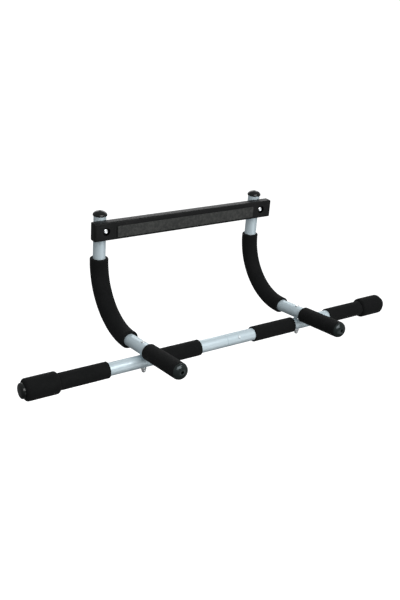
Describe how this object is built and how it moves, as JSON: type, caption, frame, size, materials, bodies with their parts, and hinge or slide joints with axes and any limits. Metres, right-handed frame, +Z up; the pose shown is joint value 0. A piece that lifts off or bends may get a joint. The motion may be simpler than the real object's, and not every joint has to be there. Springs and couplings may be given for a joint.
{
  "type": "pull up bar",
  "caption": "Doorway pull-up bar: a long foam-gripped bar, bent arms with forward handles, and a padded crossbeam that rests on the door trim on the far side of the wall.",
  "frame": {"origin": "middle of the crossbeam's underside, which rests on the door trim", "axes": "+X along the long bar, -Y towards the user and square to the wall, +Z up as it hangs in use"},
  "size_m": [0.94, 0.3731, 0.284],
  "materials": {
    "silver_paint": "satin silver powder coat",
    "black_paint": "satin black powder coat",
    "zinc": "bright zinc plate",
    "foam": "matte closed-cell foam",
    "wall_pad": "matte rubber strip",
    "gloss_cap": "gloss black moulding",
    "black_plastic": "satin black moulding"
  },
  "bodies": {
    "frame": {"bar_tube_left": "silver_paint", "bar_tube_right": "silver_paint", "joint_sleeve": "zinc", "button_spring": "zinc", "centre_foam_left": "foam", "centre_foam_right": "foam", "outer_foam_left": "foam", "outer_foam_right": "foam", "jamb_pad_left": "foam", "jamb_pad_right": "foam", "bar_end_cap_left": "gloss_cap", "bar_end_cap_right": "gloss_cap", "arm_tube_left": "silver_paint", "arm_tube_right": "silver_paint", "arm_foam_left": "foam", "arm_foam_right": "foam", "handle_foam_left": "foam", "handle_foam_right": "foam", "handle_cap_left": "gloss_cap", "handle_cap_right": "gloss_cap", "arm_top_cap_left": "gloss_cap", "arm_top_cap_right": "gloss_cap", "crossing_bolt_left": "zinc", "crossing_bolt_right": "zinc", "saddle_washer_left": "zinc", "saddle_washer_right": "zinc", "crossing_nut_left": "zinc", "crossing_nut_right": "zinc", "beam_bush_left": "black_plastic", "beam_bush_right": "black_plastic", "beam_bolt_left": "zinc", "beam_bolt_right": "zinc", "beam_nut_left": "zinc", "beam_nut_right": "zinc", "crossbeam": "black_paint", "beam_end_plug_left": "black_plastic", "beam_end_plug_right": "black_plastic", "beam_pad": "wall_pad"},
    "button": {"snap_button": "zinc"}
  },
  "joints": [
    {"name": "button_press", "type": "slide", "parent": "frame", "child": "button", "axis": [0, 0.8192, -0.5736], "range_m": [0, 0.005], "stiffness_N_per_m": 800, "springref_m": -0.005}
  ]
}
